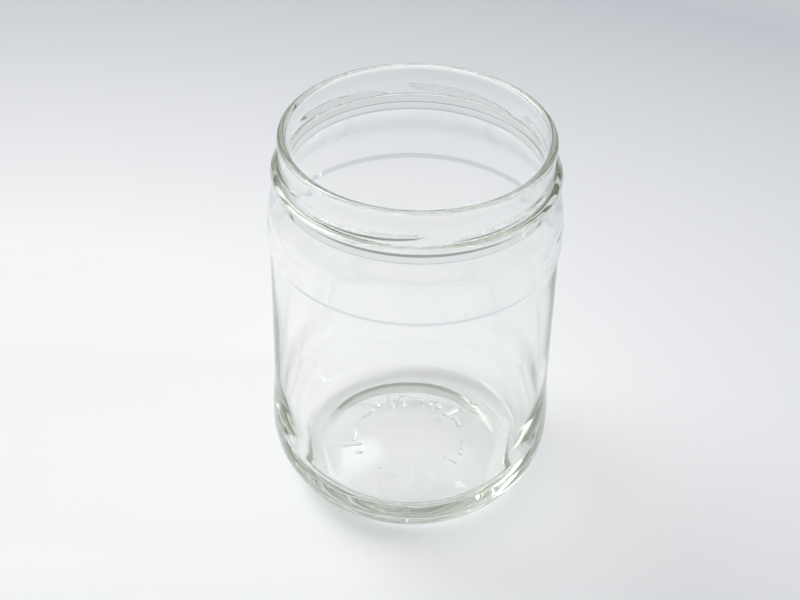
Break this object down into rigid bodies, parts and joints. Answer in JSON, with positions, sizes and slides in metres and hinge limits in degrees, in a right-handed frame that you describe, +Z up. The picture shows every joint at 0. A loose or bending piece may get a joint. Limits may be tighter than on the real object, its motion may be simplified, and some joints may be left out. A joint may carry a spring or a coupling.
{
  "type": "canning jar",
  "caption": "Empty clear glass food jar: rounded base, straight label panel, soft shoulder, neck ring and a wide mouth with sloping lugs for a screw lid.",
  "frame": {"origin": "centre of the resting plane under the jar", "axes": "+Z up along the jar's axis, -Y to the front, +X to the right"},
  "size_m": [0.0866, 0.0866, 0.1223],
  "materials": {
    "glass": "clear gloss"
  },
  "bodies": {
    "root": {"jar": "glass"}
  },
  "joints": []
}
